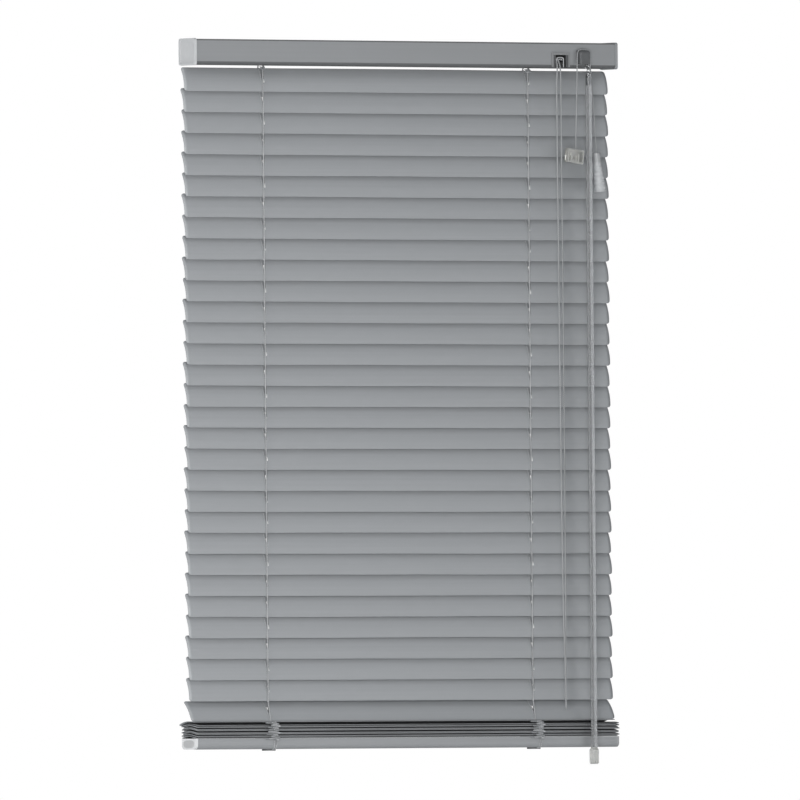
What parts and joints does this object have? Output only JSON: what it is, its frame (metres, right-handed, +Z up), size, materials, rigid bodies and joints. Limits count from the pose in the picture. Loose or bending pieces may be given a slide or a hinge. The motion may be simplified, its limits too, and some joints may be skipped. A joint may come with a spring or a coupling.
{
  "type": "venetian blind",
  "caption": "Horizontal venetian blind: channel headrail, curved slats hung closed on ladder strings, cord lock, pull cord, tilt wand, and a bottom rail under the gathered slats.",
  "frame": {"origin": "middle of the headrail's back face, where it meets the wall or window frame", "axes": "+X along the headrail to the wand's side, -Y into the room, +Z up"},
  "size_m": [0.5465, 0.0413, 0.7438],
  "materials": {
    "rail_paint": "satin grey paint on folded steel",
    "slat_paint": "satin grey paint on thin aluminium strip",
    "grey_plastic": "moulded, light grey",
    "dark_plastic": "moulded, dark grey",
    "ladder_string": "braided, pale grey",
    "cord": "braided, grey",
    "steel": "plain steel",
    "clear_plastic": "clear, glossy"
  },
  "bodies": {
    "headrail": {"headrail": "rail_paint", "end_cap_left": "grey_plastic", "end_cap_right": "grey_plastic", "drum_cradles": "dark_plastic", "tilter_housing": "dark_plastic", "lock_housing": "grey_plastic", "lift_cords": "cord", "ladder_tops": "ladder_string", "pull_cord": "cord", "tail_cord": "cord", "cord_joiner": "clear_plastic", "tassel": "clear_plastic"},
    "tilt_rod": {"tilt_rod": "steel", "ladder_drums": "dark_plastic", "worm_wheel": "dark_plastic"},
    "slat_01": {"slat_01": "slat_paint"},
    "slat_02": {"slat_02": "slat_paint"},
    "slat_03": {"slat_03": "slat_paint"},
    "slat_04": {"slat_04": "slat_paint"},
    "slat_05": {"slat_05": "slat_paint"},
    "slat_06": {"slat_06": "slat_paint"},
    "slat_07": {"slat_07": "slat_paint"},
    "slat_08": {"slat_08": "slat_paint"},
    "slat_09": {"slat_09": "slat_paint"},
    "slat_10": {"slat_10": "slat_paint"},
    "slat_11": {"slat_11": "slat_paint"},
    "slat_12": {"slat_12": "slat_paint"},
    "slat_13": {"slat_13": "slat_paint"},
    "slat_14": {"slat_14": "slat_paint"},
    "slat_15": {"slat_15": "slat_paint"},
    "slat_16": {"slat_16": "slat_paint"},
    "slat_17": {"slat_17": "slat_paint"},
    "slat_18": {"slat_18": "slat_paint"},
    "slat_19": {"slat_19": "slat_paint"},
    "slat_20": {"slat_20": "slat_paint"},
    "slat_21": {"slat_21": "slat_paint"},
    "slat_22": {"slat_22": "slat_paint"},
    "slat_23": {"slat_23": "slat_paint"},
    "slat_24": {"slat_24": "slat_paint"},
    "slat_25": {"slat_25": "slat_paint"},
    "slat_26": {"slat_26": "slat_paint"},
    "slat_27": {"slat_27": "slat_paint"},
    "slat_28": {"slat_28": "slat_paint"},
    "slat_29": {"slat_29": "slat_paint"},
    "slat_30": {"slat_30": "slat_paint"},
    "slat_31": {"slat_31": "slat_paint"},
    "ladder_front": {"ladder_front": "ladder_string"},
    "ladder_rear": {"ladder_rear": "ladder_string"},
    "worm_stem": {"worm_stem": "steel"},
    "wand_link": {"wand_sleeve": "clear_plastic"},
    "wand": {"wand_hook": "steel", "wand": "clear_plastic", "wand_tip": "clear_plastic"},
    "bottom_rail": {"bottom_rail": "rail_paint", "bottom_rail_caps": "grey_plastic", "ladder_plugs": "dark_plastic", "stacked_slats": "slat_paint", "ladder_bunches": "ladder_string"},
    "lock_roller": {"lock_roller": "steel"}
  },
  "joints": [
    {"name": "tilt", "type": "hinge", "parent": "headrail", "child": "tilt_rod", "pos_m": [0, -0.0145, 0.002], "axis": [-1, 0, 0], "range_deg": [0, 150], "deforming": ["ladder_tops"]},
    {"name": "slat_01_tilt", "type": "hinge", "parent": "headrail", "child": "slat_01", "pos_m": [0, -0.0145, -0.0273], "axis": [-1, 0, 0], "range_deg": [0, 150]},
    {"name": "slat_02_tilt", "type": "hinge", "parent": "headrail", "child": "slat_02", "pos_m": [0, -0.0145, -0.0488], "axis": [-1, 0, 0], "range_deg": [0, 150]},
    {"name": "slat_03_tilt", "type": "hinge", "parent": "headrail", "child": "slat_03", "pos_m": [0, -0.0145, -0.0703], "axis": [-1, 0, 0], "range_deg": [0, 150]},
    {"name": "slat_04_tilt", "type": "hinge", "parent": "headrail", "child": "slat_04", "pos_m": [0, -0.0145, -0.0918], "axis": [-1, 0, 0], "range_deg": [0, 150]},
    {"name": "slat_05_tilt", "type": "hinge", "parent": "headrail", "child": "slat_05", "pos_m": [0, -0.0145, -0.1133], "axis": [-1, 0, 0], "range_deg": [0, 150]},
    {"name": "slat_06_tilt", "type": "hinge", "parent": "headrail", "child": "slat_06", "pos_m": [0, -0.0145, -0.1348], "axis": [-1, 0, 0], "range_deg": [0, 150]},
    {"name": "slat_07_tilt", "type": "hinge", "parent": "headrail", "child": "slat_07", "pos_m": [0, -0.0145, -0.1563], "axis": [-1, 0, 0], "range_deg": [0, 150]},
    {"name": "slat_08_tilt", "type": "hinge", "parent": "headrail", "child": "slat_08", "pos_m": [0, -0.0145, -0.1778], "axis": [-1, 0, 0], "range_deg": [0, 150]},
    {"name": "slat_09_tilt", "type": "hinge", "parent": "headrail", "child": "slat_09", "pos_m": [0, -0.0145, -0.1993], "axis": [-1, 0, 0], "range_deg": [0, 150]},
    {"name": "slat_10_tilt", "type": "hinge", "parent": "headrail", "child": "slat_10", "pos_m": [0, -0.0145, -0.2208], "axis": [-1, 0, 0], "range_deg": [0, 150]},
    {"name": "slat_11_tilt", "type": "hinge", "parent": "headrail", "child": "slat_11", "pos_m": [0, -0.0145, -0.2423], "axis": [-1, 0, 0], "range_deg": [0, 150]},
    {"name": "slat_12_tilt", "type": "hinge", "parent": "headrail", "child": "slat_12", "pos_m": [0, -0.0145, -0.2638], "axis": [-1, 0, 0], "range_deg": [0, 150]},
    {"name": "slat_13_tilt", "type": "hinge", "parent": "headrail", "child": "slat_13", "pos_m": [0, -0.0145, -0.2853], "axis": [-1, 0, 0], "range_deg": [0, 150]},
    {"name": "slat_14_tilt", "type": "hinge", "parent": "headrail", "child": "slat_14", "pos_m": [0, -0.0145, -0.3068], "axis": [-1, 0, 0], "range_deg": [0, 150]},
    {"name": "slat_15_tilt", "type": "hinge", "parent": "headrail", "child": "slat_15", "pos_m": [0, -0.0145, -0.3283], "axis": [-1, 0, 0], "range_deg": [0, 150]},
    {"name": "slat_16_tilt", "type": "hinge", "parent": "headrail", "child": "slat_16", "pos_m": [0, -0.0145, -0.3498], "axis": [-1, 0, 0], "range_deg": [0, 150]},
    {"name": "slat_17_tilt", "type": "hinge", "parent": "headrail", "child": "slat_17", "pos_m": [0, -0.0145, -0.3713], "axis": [-1, 0, 0], "range_deg": [0, 150]},
    {"name": "slat_18_tilt", "type": "hinge", "parent": "headrail", "child": "slat_18", "pos_m": [0, -0.0145, -0.3928], "axis": [-1, 0, 0], "range_deg": [0, 150]},
    {"name": "slat_19_tilt", "type": "hinge", "parent": "headrail", "child": "slat_19", "pos_m": [0, -0.0145, -0.4143], "axis": [-1, 0, 0], "range_deg": [0, 150]},
    {"name": "slat_20_tilt", "type": "hinge", "parent": "headrail", "child": "slat_20", "pos_m": [0, -0.0145, -0.4358], "axis": [-1, 0, 0], "range_deg": [0, 150]},
    {"name": "slat_21_tilt", "type": "hinge", "parent": "headrail", "child": "slat_21", "pos_m": [0, -0.0145, -0.4573], "axis": [-1, 0, 0], "range_deg": [0, 150]},
    {"name": "slat_22_tilt", "type": "hinge", "parent": "headrail", "child": "slat_22", "pos_m": [0, -0.0145, -0.4788], "axis": [-1, 0, 0], "range_deg": [0, 150]},
    {"name": "slat_23_tilt", "type": "hinge", "parent": "headrail", "child": "slat_23", "pos_m": [0, -0.0145, -0.5003], "axis": [-1, 0, 0], "range_deg": [0, 150]},
    {"name": "slat_24_tilt", "type": "hinge", "parent": "headrail", "child": "slat_24", "pos_m": [0, -0.0145, -0.5218], "axis": [-1, 0, 0], "range_deg": [0, 150]},
    {"name": "slat_25_tilt", "type": "hinge", "parent": "headrail", "child": "slat_25", "pos_m": [0, -0.0145, -0.5433], "axis": [-1, 0, 0], "range_deg": [0, 150]},
    {"name": "slat_26_tilt", "type": "hinge", "parent": "headrail", "child": "slat_26", "pos_m": [0, -0.0145, -0.5648], "axis": [-1, 0, 0], "range_deg": [0, 150]},
    {"name": "slat_27_tilt", "type": "hinge", "parent": "headrail", "child": "slat_27", "pos_m": [0, -0.0145, -0.5863], "axis": [-1, 0, 0], "range_deg": [0, 150]},
    {"name": "slat_28_tilt", "type": "hinge", "parent": "headrail", "child": "slat_28", "pos_m": [0, -0.0145, -0.6078], "axis": [-1, 0, 0], "range_deg": [0, 150]},
    {"name": "slat_29_tilt", "type": "hinge", "parent": "headrail", "child": "slat_29", "pos_m": [0, -0.0145, -0.6293], "axis": [-1, 0, 0], "range_deg": [0, 150]},
    {"name": "slat_30_tilt", "type": "hinge", "parent": "headrail", "child": "slat_30", "pos_m": [0, -0.0145, -0.6508], "axis": [-1, 0, 0], "range_deg": [0, 150]},
    {"name": "slat_31_tilt", "type": "hinge", "parent": "headrail", "child": "slat_31", "pos_m": [0, -0.0145, -0.6723], "axis": [-1, 0, 0], "range_deg": [0, 110]},
    {"name": "ladder_front_lift", "type": "hinge", "parent": "slat_01", "child": "ladder_front", "pos_m": [0, -0.0158, -0.03989], "axis": [-1, 0, 0], "range_deg": [-150, 0]},
    {"name": "ladder_rear_lift", "type": "hinge", "parent": "slat_01", "child": "ladder_rear", "pos_m": [0, -0.00933, -0.01574], "axis": [-1, 0, 0], "range_deg": [-150, 0]},
    {"name": "stem_spin", "type": "hinge", "parent": "headrail", "child": "worm_stem", "pos_m": [0.226, -0.02177, 0.0062], "axis": [0, -0.5, -0.866], "range_deg": [0, 1800]},
    {"name": "wand_swing", "type": "hinge", "parent": "headrail", "child": "wand_link", "pos_m": [0.226, -0.03387, -0.01476], "axis": [-1, 0, 0], "range_deg": [0, 75]},
    {"name": "wand_spin", "type": "hinge", "parent": "wand_link", "child": "wand", "pos_m": [0.226, -0.03387, -0.01476], "axis": [0, 0, -1], "range_deg": [0, 1800]},
    {"name": "bottom_rail_drop", "type": "slide", "parent": "headrail", "child": "bottom_rail", "axis": [0, 0, 1], "range_m": [-0.008, 0]},
    {"name": "lock_roller_lift", "type": "slide", "parent": "headrail", "child": "lock_roller", "axis": [0, 0, 1], "range_m": [0, 0.0015]}
  ],
  "couplings": [
    {"joint": "slat_01_tilt", "follows": "tilt", "ratio": 1},
    {"joint": "slat_02_tilt", "follows": "tilt", "ratio": 1},
    {"joint": "slat_03_tilt", "follows": "tilt", "ratio": 1},
    {"joint": "slat_04_tilt", "follows": "tilt", "ratio": 1},
    {"joint": "slat_05_tilt", "follows": "tilt", "ratio": 1},
    {"joint": "slat_06_tilt", "follows": "tilt", "ratio": 1},
    {"joint": "slat_07_tilt", "follows": "tilt", "ratio": 1},
    {"joint": "slat_08_tilt", "follows": "tilt", "ratio": 1},
    {"joint": "slat_09_tilt", "follows": "tilt", "ratio": 1},
    {"joint": "slat_10_tilt", "follows": "tilt", "ratio": 1},
    {"joint": "slat_11_tilt", "follows": "tilt", "ratio": 1},
    {"joint": "slat_12_tilt", "follows": "tilt", "ratio": 1},
    {"joint": "slat_13_tilt", "follows": "tilt", "ratio": 1},
    {"joint": "slat_14_tilt", "follows": "tilt", "ratio": 1},
    {"joint": "slat_15_tilt", "follows": "tilt", "ratio": 1},
    {"joint": "slat_16_tilt", "follows": "tilt", "ratio": 1},
    {"joint": "slat_17_tilt", "follows": "tilt", "ratio": 1},
    {"joint": "slat_18_tilt", "follows": "tilt", "ratio": 1},
    {"joint": "slat_19_tilt", "follows": "tilt", "ratio": 1},
    {"joint": "slat_20_tilt", "follows": "tilt", "ratio": 1},
    {"joint": "slat_21_tilt", "follows": "tilt", "ratio": 1},
    {"joint": "slat_22_tilt", "follows": "tilt", "ratio": 1},
    {"joint": "slat_23_tilt", "follows": "tilt", "ratio": 1},
    {"joint": "slat_24_tilt", "follows": "tilt", "ratio": 1},
    {"joint": "slat_25_tilt", "follows": "tilt", "ratio": 1},
    {"joint": "slat_26_tilt", "follows": "tilt", "ratio": 1},
    {"joint": "slat_27_tilt", "follows": "tilt", "ratio": 1},
    {"joint": "slat_28_tilt", "follows": "tilt", "ratio": 1},
    {"joint": "slat_29_tilt", "follows": "tilt", "ratio": 1},
    {"joint": "slat_30_tilt", "follows": "tilt", "ratio": 1},
    {"joint": "slat_31_tilt", "follows": "tilt", "ratio": 0.73333},
    {"joint": "ladder_front_lift", "follows": "tilt", "ratio": -1},
    {"joint": "ladder_rear_lift", "follows": "tilt", "ratio": -1},
    {"joint": "stem_spin", "follows": "tilt", "ratio": 12},
    {"joint": "wand_spin", "follows": "tilt", "ratio": 12}
  ]
}
